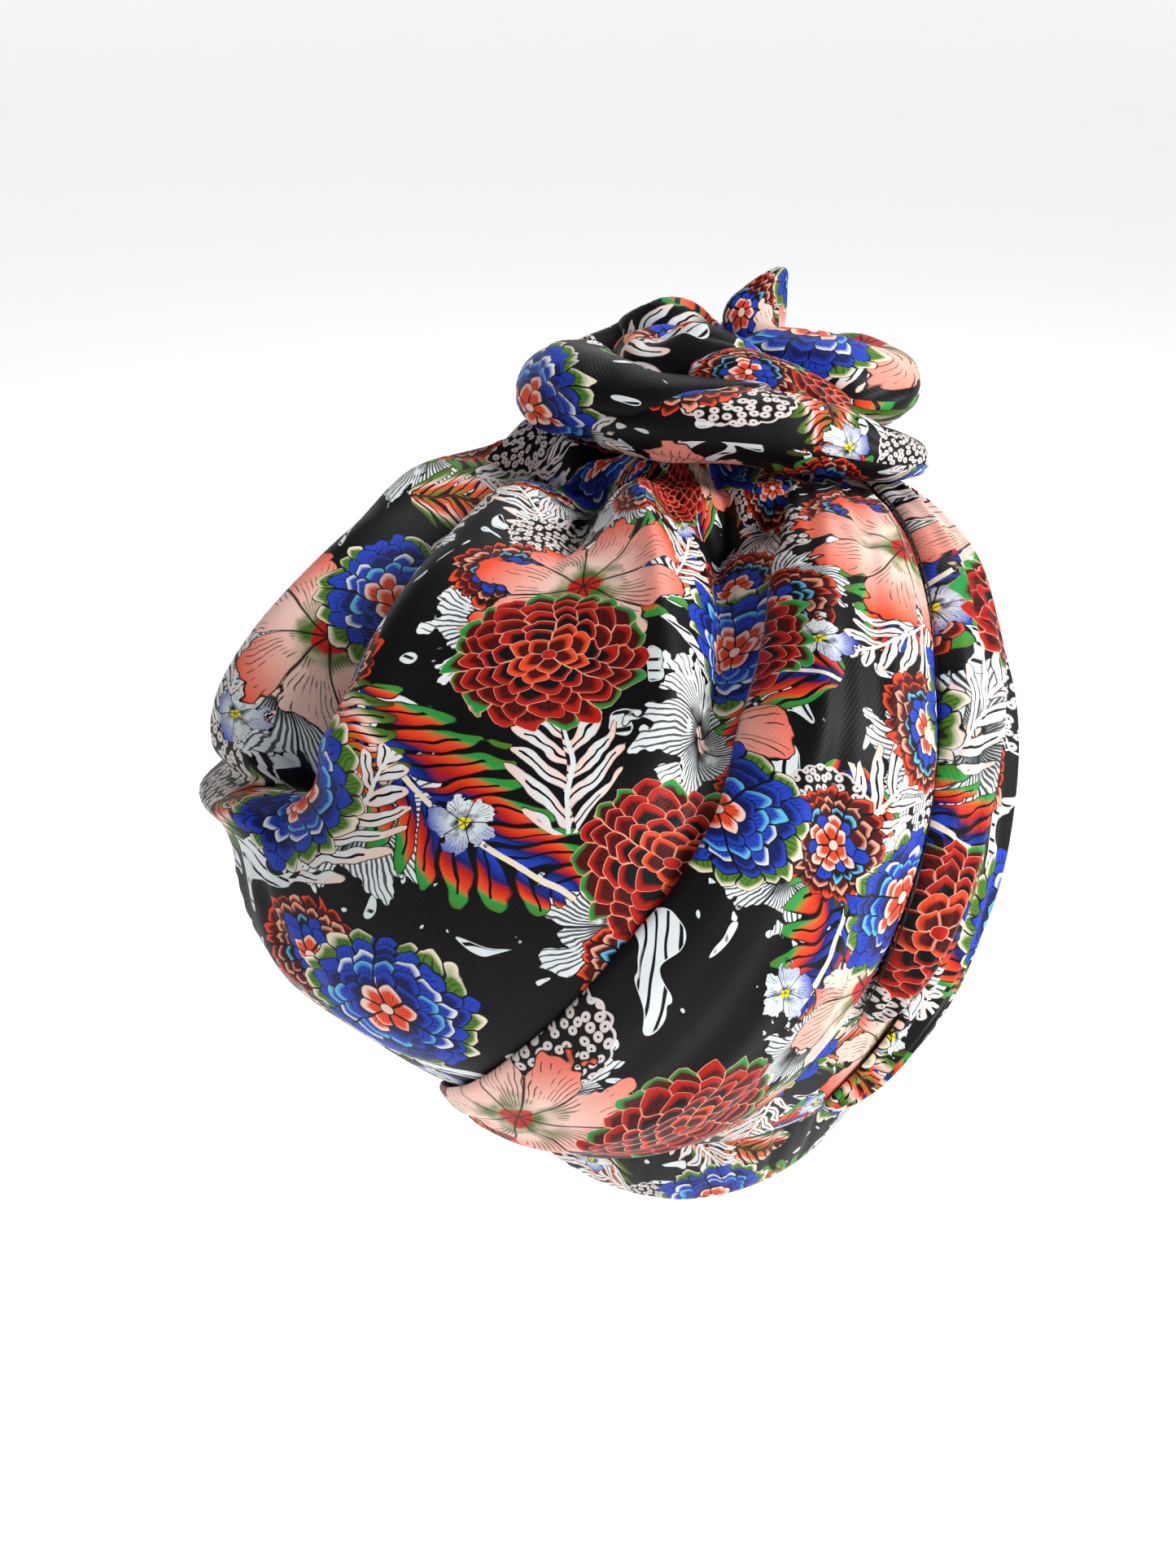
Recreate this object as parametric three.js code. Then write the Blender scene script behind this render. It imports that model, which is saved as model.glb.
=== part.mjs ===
// A ready-tied turban of printed satin: a slouching crown that hangs to one side, a wide fold wrapped
// over it, pleats down the other side, a band round the head opening and a rolled knot above the brow.
// Millimetres. +Z is up, +Y is where the wearer faces, +X is the wearer's right. The origin is the
// middle of the head inside the opening, at ear height.
import * as THREE from 'three';

// Head that the turban is sized for
const headHalfWidth = 76;
const headHalfLength = 96;

// Cloth: wall of the single layers, and the play between two layers
const clothWall = 2;
const layerGap = 0.8;

// Crown. The slouch hangs out on the wearer's left; the gather draws forward to the knot.
const crownHeight = 138;
const openingRise = 5;
const openingTilt = 22;
const slouchReach = 56;
const slouchAngle = -78;
const slouchSpread = 100;
const gatherSetback = 40;
const foldDepth = 20;
const foldWidth = 16;

// Head band
const bandWall = 2.4;
const bandDrop = 40;
const bandLap = 10;
const bandTuck = 9;
const bandGap = 0.6;

// Wrap and pleats
const wrapWidth = 78;
const wrapArch = 9;
const pleatWidth = 40;
const pleatArch = 9;

// Knot: how far it sits to the side, ahead of the gather and above the crown, and its own size
const knotSide = 8;
const knotLead = 2;
const knotStand = 19;
const knotHalfWidth = 48;
const rollRadius = 13.5;

// Facets
const crownAround = 62;
const crownLevels = 24;
const crowding = 36;
const crowdingAngle = -64;
const bandAround = 44;
const bandLevels = 4;
const wrapAlong = 32;
const wrapAcross = 8;
const pleatAlong = 24;
const pleatAcross = 6;
const rollAlong = 12;
const rollAround = 12;

// The gather stands back from the brow, and the knot sits over it.
const gatherForward = headHalfLength - gatherSetback;
const knotForward = gatherForward + knotLead;
const knotHeight = openingRise + crownHeight + knotStand;

const degree = Math.PI / 180;
const upright = new THREE.Vector3(0, 0, 1);
const forward = new THREE.Vector3(0, 1, 0);

// Crown sections from the hem to the gather under the knot. rise is a share of crownHeight, tilt of
// openingTilt, side of headHalfWidth, back and front of headHalfLength, slouch of slouchReach and
// shift of gatherForward.
const crownSections = [
  { rise: 0.00, tilt: 1.00, side: 1.05, back: 0.80, front: 1.05, slouch: 0.00, shift: 0.00 },
  { rise: 0.00, tilt: 1.00, side: 1.07, back: 0.83, front: 1.08, slouch: 0.08, shift: 0.00 },
  { rise: 0.08, tilt: 0.96, side: 1.09, back: 0.89, front: 1.10, slouch: 0.32, shift: 0.00 },
  { rise: 0.22, tilt: 0.85, side: 1.11, back: 0.95, front: 1.09, slouch: 0.64, shift: 0.00 },
  { rise: 0.40, tilt: 0.65, side: 1.12, back: 0.99, front: 1.05, slouch: 0.90, shift: 0.01 },
  { rise: 0.60, tilt: 0.40, side: 1.10, back: 0.98, front: 0.98, slouch: 0.92, shift: 0.06 },
  { rise: 0.79, tilt: 0.24, side: 1.02, back: 0.90, front: 0.86, slouch: 0.70, shift: 0.18 },
  { rise: 0.93, tilt: 0.12, side: 0.80, back: 0.73, front: 0.68, slouch: 0.46, shift: 0.38 },
  { rise: 1.01, tilt: 0.06, side: 0.50, back: 0.48, front: 0.38, slouch: 0.26, shift: 0.66 },
  { rise: 1.01, tilt: 0.00, side: 0.14, back: 0.11, front: 0.11, slouch: 0.00, shift: 1.00 },
];

// Folds that are pressed into the crown or stand out of it. Angles run round the head from the back,
// positive to the wearer's right, and level runs from the hem, 0, to the gather, 1. lift is a share
// of foldDepth, width of foldWidth; start and end are the parts of the route over which it fades.
const crownFolds = [
  {
    name: 'side_valley', lift: -1.20, width: 1.0, start: 0.12, end: 0.12,
    route: [
      { angle: -114, level: 0.93 }, { angle: -95, level: 0.86 }, { angle: -79, level: 0.80 },
      { angle: -71, level: 0.75 }, { angle: -66, level: 0.69 }, { angle: -65, level: 0.635 },
      { angle: -69, level: 0.59 },
    ],
  },
  {
    name: 'flap_edge', lift: 0.30, width: 0.8, start: 0.2, end: 0.3,
    route: [
      { angle: -124, level: 0.83 }, { angle: -105, level: 0.79 }, { angle: -92, level: 0.74 },
      { angle: -83, level: 0.66 }, { angle: -80, level: 0.58 }, { angle: -82, level: 0.53 },
    ],
  },
  {
    name: 'main_ridge', lift: 0.46, width: 0.9, start: 0.15, end: 0.15,
    route: [
      { angle: -96, level: 0.93 }, { angle: -80, level: 0.87 }, { angle: -65, level: 0.80 },
      { angle: -59, level: 0.73 }, { angle: -55, level: 0.67 }, { angle: -52, level: 0.615 },
    ],
  },
  {
    name: 'corner_pinch', lift: 0.26, width: 0.55, start: 0.35, end: 0.3,
    route: [
      { angle: -90, level: 0.515 }, { angle: -80, level: 0.54 }, { angle: -68, level: 0.58 },
      { angle: -54, level: 0.625 },
    ],
  },
  {
    name: 'low_sag', lift: 0.22, width: 1.6, start: 0.3, end: 0.3,
    route: [
      { angle: -66, level: 0.42 }, { angle: -52, level: 0.45 }, { angle: -38, level: 0.47 },
      { angle: -25, level: 0.49 },
    ],
  },
  {
    name: 'middle_ridge', lift: 0.34, width: 0.9, start: 0.2, end: 0.25,
    route: [
      { angle: -46, level: 0.97 }, { angle: -28, level: 0.93 }, { angle: -16, level: 0.88 },
      { angle: -9, level: 0.80 }, { angle: -6, level: 0.73 }, { angle: -4, level: 0.67 },
    ],
  },
  {
    name: 'middle_valley', lift: -0.60, width: 0.6, start: 0.15, end: 0.3,
    route: [
      { angle: 16, level: 0.96 }, { angle: 8, level: 0.90 }, { angle: 6, level: 0.83 },
      { angle: 4, level: 0.77 }, { angle: 0, level: 0.71 }, { angle: -5, level: 0.65 },
    ],
  },
  {
    name: 'left_shoulder', lift: -0.50, width: 0.6, start: 0.15, end: 0.4,
    route: [
      { angle: -74, level: 0.97 }, { angle: -60, level: 0.94 }, { angle: -46, level: 0.90 },
      { angle: -38, level: 0.84 },
    ],
  },
];

// Band round the opening, a row per 30 degrees from the nape to the forehead. drop is a share of
// bandDrop, tuck, in to the neck, of bandTuck.
const bandSections = [
  { drop: 1.00, tuck: 1.00 },
  { drop: 0.93, tuck: 0.95 },
  { drop: 0.72, tuck: 0.70 },
  { drop: 0.48, tuck: 0.25 },
  { drop: 0.32, tuck: 0.05 },
  { drop: 0.24, tuck: 0.00 },
  { drop: 0.22, tuck: 0.00 },
];

// Middle line of a fold laid over the crown, from the knot down. turn and climb give the way its
// width runs, in degrees and levels; width is a share of wrapWidth or pleatWidth and arch, how high
// the fold stands, of wrapArch or pleatArch.
const wrapSections = [
  { angle: 76, level: 0.865, turn: 16, climb: -0.05, width: 0.34, arch: 0.15 },
  { angle: 62, level: 0.835, turn: 19, climb: -0.05, width: 0.46, arch: 0.55 },
  { angle: 45, level: 0.79, turn: 18, climb: -0.05, width: 0.55, arch: 0.9 },
  { angle: 35, level: 0.73, turn: 17, climb: -0.05, width: 0.60, arch: 1.0 },
  { angle: 28, level: 0.66, turn: 18, climb: -0.06, width: 0.70, arch: 1.0 },
  { angle: 21, level: 0.59, turn: 19, climb: -0.065, width: 0.80, arch: 0.9 },
  { angle: 13, level: 0.52, turn: 18, climb: -0.08, width: 0.90, arch: 0.9 },
  { angle: 2, level: 0.44, turn: 15, climb: -0.105, width: 1.00, arch: 0.8 },
  { angle: -13, level: 0.35, turn: 11, climb: -0.11, width: 0.90, arch: 0.7 },
  { angle: -30, level: 0.26, turn: 5, climb: -0.10, width: 0.60, arch: 0.6 },
  { angle: -44, level: 0.17, turn: 2, climb: -0.07, width: 0.30, arch: 0.4 },
];
const innerPleatSections = [
  { angle: 106, level: 0.785, turn: 4, climb: -0.03, width: 0.26, arch: 0.3 },
  { angle: 94, level: 0.75, turn: 5, climb: -0.03, width: 0.36, arch: 0.8 },
  { angle: 80, level: 0.71, turn: 8, climb: -0.035, width: 0.56, arch: 1.0 },
  { angle: 68, level: 0.66, turn: 11, climb: -0.035, width: 0.76, arch: 1.0 },
  { angle: 58, level: 0.59, turn: 9, climb: -0.03, width: 0.68, arch: 1.0 },
  { angle: 50, level: 0.52, turn: 7, climb: -0.03, width: 0.60, arch: 1.0 },
  { angle: 42, level: 0.44, turn: 5, climb: -0.02, width: 0.48, arch: 0.9 },
  { angle: 34, level: 0.375, turn: 4, climb: -0.015, width: 0.32, arch: 0.5 },
];
const outerPleatSections = [
  { angle: 126, level: 0.745, turn: 6, climb: -0.025, width: 0.32, arch: 0.4 },
  { angle: 111, level: 0.68, turn: 7, climb: -0.03, width: 0.50, arch: 0.8 },
  { angle: 100, level: 0.605, turn: 8, climb: -0.045, width: 0.75, arch: 1.0 },
  { angle: 90, level: 0.54, turn: 9, climb: -0.06, width: 0.95, arch: 1.1 },
  { angle: 80, level: 0.465, turn: 10, climb: -0.075, width: 1.06, arch: 1.0 },
  { angle: 71, level: 0.385, turn: 11, climb: -0.085, width: 1.02, arch: 0.9 },
  { angle: 60, level: 0.31, turn: 11, climb: -0.09, width: 0.90, arch: 0.7 },
  { angle: 47, level: 0.245, turn: 9, climb: -0.09, width: 0.70, arch: 0.5 },
  { angle: 33, level: 0.195, turn: 6, climb: -0.07, width: 0.40, arch: 0.3 },
];

// Rolls of the knot about its middle. x and y are shares of knotHalfWidth; z, width and height of
// rollRadius.
const crossRollSections = [
  { x: -0.44, y: -0.52, z: -0.30, width: 0.44, height: 0.50 },
  { x: -0.22, y: -0.58, z: -0.10, width: 0.84, height: 0.86 },
  { x: 0.12, y: -0.60, z: -0.12, width: 0.96, height: 0.96 },
  { x: 0.50, y: -0.58, z: -0.38, width: 0.95, height: 0.88 },
  { x: 0.84, y: -0.52, z: -0.74, width: 0.84, height: 0.66 },
  { x: 1.12, y: -0.44, z: -1.00, width: 0.68, height: 0.50 },
  { x: 1.32, y: -0.34, z: -1.25, width: 0.40, height: 0.30 },
];
const leftLobeSections = [
  { x: -0.36, y: -0.18, z: 0.10, width: 0.50, height: 0.50 },
  { x: -0.61, y: -0.23, z: 0.00, width: 0.92, height: 0.94 },
  { x: -0.87, y: -0.12, z: -0.12, width: 1.04, height: 1.02 },
  { x: -1.03, y: 0.12, z: -0.20, width: 1.00, height: 1.00 },
  { x: -0.98, y: 0.44, z: -0.22, width: 0.92, height: 0.94 },
  { x: -0.82, y: 0.64, z: -0.18, width: 0.60, height: 0.65 },
];
const rightLobeSections = [
  { x: 0.60, y: 0.14, z: 0.02, width: 0.50, height: 0.60 },
  { x: 0.78, y: 0.06, z: -0.09, width: 0.92, height: 1.00 },
  { x: 0.97, y: 0.06, z: -0.25, width: 1.07, height: 1.12 },
  { x: 1.06, y: 0.24, z: -0.36, width: 1.02, height: 1.06 },
  { x: 1.01, y: 0.50, z: -0.34, width: 0.92, height: 0.94 },
  { x: 0.84, y: 0.67, z: -0.30, width: 0.60, height: 0.65 },
];
const frontRollSections = [
  { x: -0.75, y: 0.75, z: -0.14, width: 0.60, height: 0.60 },
  { x: -0.50, y: 0.77, z: 0.00, width: 0.84, height: 0.90 },
  { x: -0.24, y: 0.73, z: 0.28, width: 0.96, height: 1.02 },
  { x: 0.06, y: 0.76, z: 0.00, width: 0.86, height: 0.90 },
  { x: 0.42, y: 0.79, z: -0.20, width: 0.84, height: 0.86 },
  { x: 0.77, y: 0.77, z: -0.28, width: 0.60, height: 0.60 },
];
const innerRollSections = [
  { x: -0.12, y: -0.22, z: 0.68, width: 0.28, height: 0.28 },
  { x: 0.10, y: -0.22, z: 0.66, width: 0.50, height: 0.52 },
  { x: 0.34, y: -0.22, z: 0.48, width: 0.50, height: 0.52 },
  { x: 0.54, y: -0.21, z: 0.26, width: 0.42, height: 0.44 },
  { x: 0.64, y: -0.21, z: 0.10, width: 0.24, height: 0.26 },
];
const coreSections = [
  { x: 0.10, y: 0.18, z: -1.10, width: 1.40, height: 0.90 },
  { x: 0.11, y: 0.19, z: -0.60, width: 1.55, height: 1.00 },
  { x: 0.12, y: 0.19, z: 0.00, width: 1.50, height: 0.96 },
  { x: 0.14, y: 0.20, z: 0.60, width: 1.28, height: 0.80 },
  { x: 0.15, y: 0.20, z: 1.02, width: 0.90, height: 0.60 },
  { x: 0.16, y: 0.20, z: 1.26, width: 0.36, height: 0.28 },
];
const tailSections = [
  { x: 0.28, y: 0.48, z: 0.66, width: 0.50, height: 0.28 },
  { x: 0.31, y: 0.49, z: 1.02, width: 0.74, height: 0.36 },
  { x: 0.36, y: 0.51, z: 1.38, width: 0.60, height: 0.28 },
  { x: 0.42, y: 0.52, z: 1.76, width: 0.36, height: 0.19 },
  { x: 0.49, y: 0.55, z: 2.10, width: 0.10, height: 0.08 },
];

// Value of one column at a share of the way through the rows, on a smooth curve.
function column(rows, name, share) {
  const place = THREE.MathUtils.clamp(share, 0, 1) * (rows.length - 1);
  const i = Math.min(Math.floor(place), rows.length - 2);
  const t = place - i;
  const p1 = rows[i][name];
  const p2 = rows[i + 1][name];
  const p0 = i > 0 ? rows[i - 1][name] : 2 * p1 - p2;
  const p3 = i + 2 < rows.length ? rows[i + 2][name] : 2 * p2 - p1;
  const slopeIn = (p2 - p0) / 2;
  const slopeOut = (p3 - p1) / 2;
  return (2 * t ** 3 - 3 * t ** 2 + 1) * p1 + (t ** 3 - 2 * t ** 2 + t) * slopeIn
    + (3 * t ** 2 - 2 * t ** 3) * p2 + (t ** 3 - t ** 2) * slopeOut;
}

// How much of the slouch shows at an angle round the head.
function slouchShare(angle) {
  const away = ((angle - slouchAngle + 540) % 360) - 180;
  return Math.abs(away) < slouchSpread ? Math.cos((away / slouchSpread) * 90 * degree) ** 1.6 : 0;
}

// Point of the crown before it is folded.
function crownBase(angle, level) {
  const across = Math.sin(angle * degree);
  const along = -Math.cos(angle * degree);
  const row = (name) => column(crownSections, name, level);
  const sideReach = headHalfWidth * row('side');
  const endReach = headHalfLength * (along < 0 ? row('back') : row('front'));
  const reach = slouchReach * row('slouch') * slouchShare(angle);
  return new THREE.Vector3(
    across * (sideReach + reach),
    along * (endReach + reach) + gatherForward * row('shift'),
    row('rise') * crownHeight + openingRise + row('tilt') * openingTilt * along,
  );
}

function crownNormal(angle, level) {
  const turn = 0.8;
  const climb = 0.006;
  const round = crownBase(angle + turn, level).sub(crownBase(angle - turn, level));
  const up = crownBase(angle, Math.min(1, level + climb)).sub(crownBase(angle, Math.max(0, level - climb)));
  return round.cross(up).normalize();
}

// Each fold's route as points on the unfolded crown.
const foldRoutes = crownFolds.map((fold) => {
  const count = 24;
  const points = Array.from({ length: count }, (unused, i) => {
    const share = i / (count - 1);
    return crownBase(column(fold.route, 'angle', share), column(fold.route, 'level', share));
  });
  return { ...fold, points };
});

// How far a fold lifts a point of the unfolded crown.
function foldLift(fold, point) {
  const segment = new THREE.Line3();
  const foot = new THREE.Vector3();
  let nearest = Infinity;
  let share = 0;
  for (let i = 0; i + 1 < fold.points.length; i += 1) {
    segment.set(fold.points[i], fold.points[i + 1]);
    const t = segment.closestPointToPointParameter(point, true);
    const distance = segment.at(t, foot).distanceTo(point);
    if (distance < nearest) {
      nearest = distance;
      share = (i + t) / (fold.points.length - 1);
    }
  }
  const { smoothstep } = THREE.MathUtils;
  const fade = smoothstep(share, 0, fold.start) * smoothstep(1 - share, 0, fold.end);
  return fold.lift * foldDepth * fade * Math.exp(-((nearest / (fold.width * foldWidth)) ** 2));
}

// Point of the folded crown, set back from its outer face by inset.
function crownPoint(angle, level, inset) {
  const point = crownBase(angle, level);
  const lift = foldRoutes.reduce((sum, fold) => sum + foldLift(fold, point), 0);
  return point.addScaledVector(crownNormal(angle, level), lift - inset);
}

// Closed solid through a row of rings. A loop joins its last ring to its first; strip caps close a
// flat ring by joining its two long sides.
function loft(rings, { loop = false, stripCaps = false } = {}) {
  const size = rings[0].length;
  const vertices = rings.flat();
  const triangles = [];
  const quad = (a, b, c, d) => triangles.push([a, b, c], [a, c, d]);
  const last = loop ? rings.length : rings.length - 1;
  for (let i = 0; i < last; i += 1) {
    const next = (i + 1) % rings.length;
    for (let j = 0; j < size; j += 1) {
      const k = (j + 1) % size;
      quad(i * size + j, i * size + k, next * size + k, next * size + j);
    }
  }
  const cap = (start, flip) => {
    if (stripCaps) {
      for (let j = 0; j < size / 2 - 1; j += 1) {
        const corners = [start + j, start + size - 1 - j, start + size - 2 - j, start + j + 1];
        quad(...(flip ? corners : corners.reverse()));
      }
      return;
    }
    const middle = new THREE.Vector3();
    for (let j = 0; j < size; j += 1) middle.add(vertices[start + j]);
    vertices.push(middle.divideScalar(size));
    for (let j = 0; j < size; j += 1) {
      const edge = [start + j, start + (j + 1) % size];
      if (flip) edge.reverse();
      triangles.push([vertices.length - 1, ...edge]);
    }
  };
  if (!loop) {
    cap(0, true);
    cap((rings.length - 1) * size, false);
  }
  let volume = 0;
  for (const [a, b, c] of triangles) {
    volume += vertices[a].dot(vertices[b].clone().cross(vertices[c]));
  }
  if (volume < 0) triangles.forEach((corner) => corner.reverse());
  const geometry = new THREE.BufferGeometry().setFromPoints(vertices);
  geometry.setIndex(triangles.flat());
  geometry.computeVertexNormals();
  return geometry;
}

function steps(count, value) {
  return Array.from({ length: count }, (unused, i) => value(i));
}

// The columns of the crown stand closest together where its folds are.
function crown() {
  const ring = (level, inset) => steps(crownAround, (i) => {
    const turn = i / crownAround;
    const angle = crowdingAngle + 360 * turn - crowding * Math.sin(2 * Math.PI * turn);
    return crownPoint(angle, level, inset);
  });
  const levels = steps(crownLevels + 1, (i) => i / crownLevels);
  const outside = levels.map((level) => ring(level, 0));
  const inside = levels.map((level) => ring(level, clothWall)).reverse();
  return loft([...inside, ...outside], { loop: true });
}

// Band that hugs the head and laps up inside the crown's hem.
function headBand() {
  const point = (angle, level, inset) => {
    const across = Math.sin(angle * degree);
    const along = -Math.cos(angle * degree);
    const fromNape = Math.abs(angle - 180) / 180;
    const drop = bandDrop * column(bandSections, 'drop', 1 - fromNape);
    const tuck = bandTuck * column(bandSections, 'tuck', 1 - fromNape) * (1 - level) ** 1.4;
    const hem = crownBase(angle, 0);
    hem.x -= across * (bandGap + inset + tuck);
    hem.y -= along * (bandGap + inset + tuck);
    hem.z += bandLap * level - drop * (1 - level);
    return hem;
  };
  const levels = steps(bandLevels + 1, (i) => i / bandLevels);
  return loft(steps(bandAround, (i) => {
    const angle = (360 * i) / bandAround;
    const outside = levels.map((level) => point(angle, level, 0));
    const inside = levels.map((level) => point(angle, level, bandWall)).reverse();
    return [...outside, ...inside];
  }), { loop: true });
}

// Arched layer of cloth laid over the crown along its sections.
function layer(rows, width, arch, along, across) {
  return loft(steps(along + 1, (i) => {
    const share = i / along;
    const row = (name) => column(rows, name, share);
    const [angle, level, turn, climb] = [row('angle'), row('level'), row('turn'), row('climb')];
    const span = crownBase(angle - turn, level - climb).distanceTo(crownBase(angle + turn, level + climb));
    const spread = (width * row('width')) / span;
    const point = (j, inset) => {
      const side = spread * ((2 * j) / across - 1);
      const lift = layerGap + clothWall + arch * row('arch') * Math.sin((Math.PI * j) / across) ** 0.7;
      return crownPoint(angle + side * turn, level + side * climb, inset - lift);
    };
    const outside = steps(across + 1, (j) => point(j, 0));
    const inside = steps(across + 1, (j) => point(j, clothWall)).reverse();
    return [...outside, ...inside];
  }), { stripCaps: true });
}

// Soft roll of the knot. Its sections stand square to its line, with their height towards up.
function roll(rows, up = upright) {
  const middle = (share) => new THREE.Vector3(
    knotSide + knotHalfWidth * column(rows, 'x', share),
    knotForward + knotHalfWidth * column(rows, 'y', share),
    knotHeight + rollRadius * column(rows, 'z', share),
  );
  return loft(steps(rollAlong + 1, (i) => {
    const share = i / rollAlong;
    const tangent = middle(Math.min(1, share + 0.01)).sub(middle(Math.max(0, share - 0.01)));
    const sideways = tangent.clone().cross(up).normalize();
    const upward = sideways.clone().cross(tangent).normalize();
    return steps(rollAround, (j) => {
      const turn = (2 * Math.PI * j) / rollAround;
      return middle(share)
        .addScaledVector(sideways, Math.cos(turn) * rollRadius * column(rows, 'width', share))
        .addScaledVector(upward, Math.sin(turn) * rollRadius * column(rows, 'height', share));
    });
  }));
}

function piece(name, geometry, colour) {
  const material = new THREE.MeshStandardMaterial({ color: colour, roughness: 0.5, metalness: 0 });
  const mesh = new THREE.Mesh(geometry, material);
  mesh.name = name;
  return mesh;
}

const turban = new THREE.Group();
turban.add(
  piece('crown', crown(), '#1f1f26'),
  piece('head_band', headBand(), '#3a3138'),
  piece('wrap_fold', layer(wrapSections, wrapWidth, wrapArch, wrapAlong, wrapAcross), '#7a4a3e'),
  piece('inner_pleat', layer(innerPleatSections, pleatWidth, pleatArch, pleatAlong, pleatAcross), '#7d6a68'),
  piece('outer_pleat', layer(outerPleatSections, pleatWidth, pleatArch, pleatAlong, pleatAcross), '#54566b'),
  piece('knot_cross_roll', roll(crossRollSections), '#26262c'),
  piece('knot_left_lobe', roll(leftLobeSections), '#31406e'),
  piece('knot_right_lobe', roll(rightLobeSections), '#202026'),
  piece('knot_front_roll', roll(frontRollSections), '#3d4a3a'),
  piece('knot_inner_roll', roll(innerRollSections), '#3c4a82'),
  piece('knot_core', roll(coreSections, forward), '#5c2024'),
  piece('knot_tail', roll(tailSections, forward), '#8f7f7c'),
);

export default turban;
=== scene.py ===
import math
import bpy
import bmesh
import numpy as np
from mathutils import Matrix, Vector


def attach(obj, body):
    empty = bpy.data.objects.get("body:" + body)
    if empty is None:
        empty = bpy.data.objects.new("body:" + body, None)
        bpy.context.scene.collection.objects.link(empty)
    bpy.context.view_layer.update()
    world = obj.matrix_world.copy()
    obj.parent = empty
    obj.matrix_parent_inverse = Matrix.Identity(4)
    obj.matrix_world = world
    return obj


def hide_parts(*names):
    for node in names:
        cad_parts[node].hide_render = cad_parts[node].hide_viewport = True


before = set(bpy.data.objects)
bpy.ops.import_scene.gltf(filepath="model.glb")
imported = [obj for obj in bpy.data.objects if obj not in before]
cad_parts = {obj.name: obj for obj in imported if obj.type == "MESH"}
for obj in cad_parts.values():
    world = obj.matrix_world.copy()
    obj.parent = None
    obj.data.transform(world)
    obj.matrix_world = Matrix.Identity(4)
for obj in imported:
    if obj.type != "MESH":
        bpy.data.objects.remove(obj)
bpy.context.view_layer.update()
print("frame loaded")

mm = 0.001  # shapes are worked out in millimetres


# Camera behind the wearer and above, lengths in millimetres
cameraView = dict(lens=35, elevation=33, distance=480, aim=(0, 0, 40), aside=-29.2, above=13.3)


def addCamera():
    tilt = math.radians(cameraView["elevation"])
    right = Vector((1, 0, 0))
    ahead = Vector((0, math.cos(tilt), -math.sin(tilt)))
    above = Vector((0, math.sin(tilt), math.cos(tilt)))
    place = (Vector(cameraView["aim"]) + right * cameraView["aside"] + above * cameraView["above"]
             - ahead * cameraView["distance"]) * mm
    data = bpy.data.cameras.new("camera")
    data.lens = cameraView["lens"]
    camera = bpy.data.objects.new("camera", data)
    bpy.context.scene.collection.objects.link(camera)
    camera.matrix_world = Matrix.Translation(place) @ Matrix((right, above, -ahead)).transposed().to_4x4()
    bpy.context.scene.camera = camera


addCamera()
print("camera placed")


# Values of one column of a table along its rows, on a smooth curve
def column(values, share):
    values = np.asarray(values, float)
    ends = np.concatenate(([2 * values[0] - values[1]], values, [2 * values[-1] - values[-2]]))
    place = np.clip(share, 0, 1) * (len(values) - 1)
    i = np.minimum(place.astype(int), len(values) - 2)
    t = place - i
    before, first, second, after = ends[i], ends[i + 1], ends[i + 2], ends[i + 3]
    return ((2 * t**3 - 3 * t**2 + 1) * first + (t**3 - 2 * t**2 + t) * (second - before) / 2
            + (3 * t**2 - 2 * t**3) * second + (t**3 - t**2) * (after - first) / 2)


def ease(value, low=0.0, high=1.0):
    t = np.clip((value - low) / (high - low), 0, 1)
    return t * t * (3 - 2 * t)


# Soft waves through space, so that they never show a seam
def waves(points, length, seed, count=7):
    draw = np.random.default_rng(seed)
    total = np.zeros(points.shape[:-1])
    for _ in range(count):
        way = draw.normal(size=3)
        way *= 2 * np.pi / (length * draw.uniform(0.75, 1.4) * np.linalg.norm(way))
        total += np.sin(points @ way + draw.uniform(0, 2 * np.pi))
    return total / count**0.5


# Crown: sections from the hem to the gather, and folds by angle and level
crown = dict(
    halfWidth=76, halfLength=96, height=138, openingRise=5, openingTilt=22,
    slouchReach=56, slouchAngle=-78, slouchSpread=100, slouchCurve=1.6,
    gatherForward=56,
    foldDepth=20, foldWidth=16,
    rise=(0, 0, .08, .22, .40, .60, .79, .93, 1.01, 1.01),
    tilt=(1, 1, .96, .85, .65, .40, .24, .12, .06, 0),
    side=(1.05, 1.07, 1.09, 1.11, 1.12, 1.10, 1.02, .80, .50, .14),
    back=(.80, .83, .89, .95, .99, .98, .90, .73, .48, .11),
    front=(1.05, 1.08, 1.10, 1.09, 1.05, .98, .86, .68, .38, .11),
    slouch=(0, .08, .32, .64, .90, .92, .70, .46, .26, 0),
    shift=(0, 0, 0, 0, .01, .06, .18, .38, .66, 1),
    around=270, levels=150, wall=1.0, draw=0.55, creases=1.5,
    gathers=34, gatherDepth=2.4, gatherFrom=-140, gatherSpan=280, gatherTop=.985,
    ripple=1.0, rippleLength=62, fineRipple=0.15, fineLength=24,
    hemShare=0.03, hemDepth=0.035, hemTuck=1.6, hemBend=0.006,
)
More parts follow.
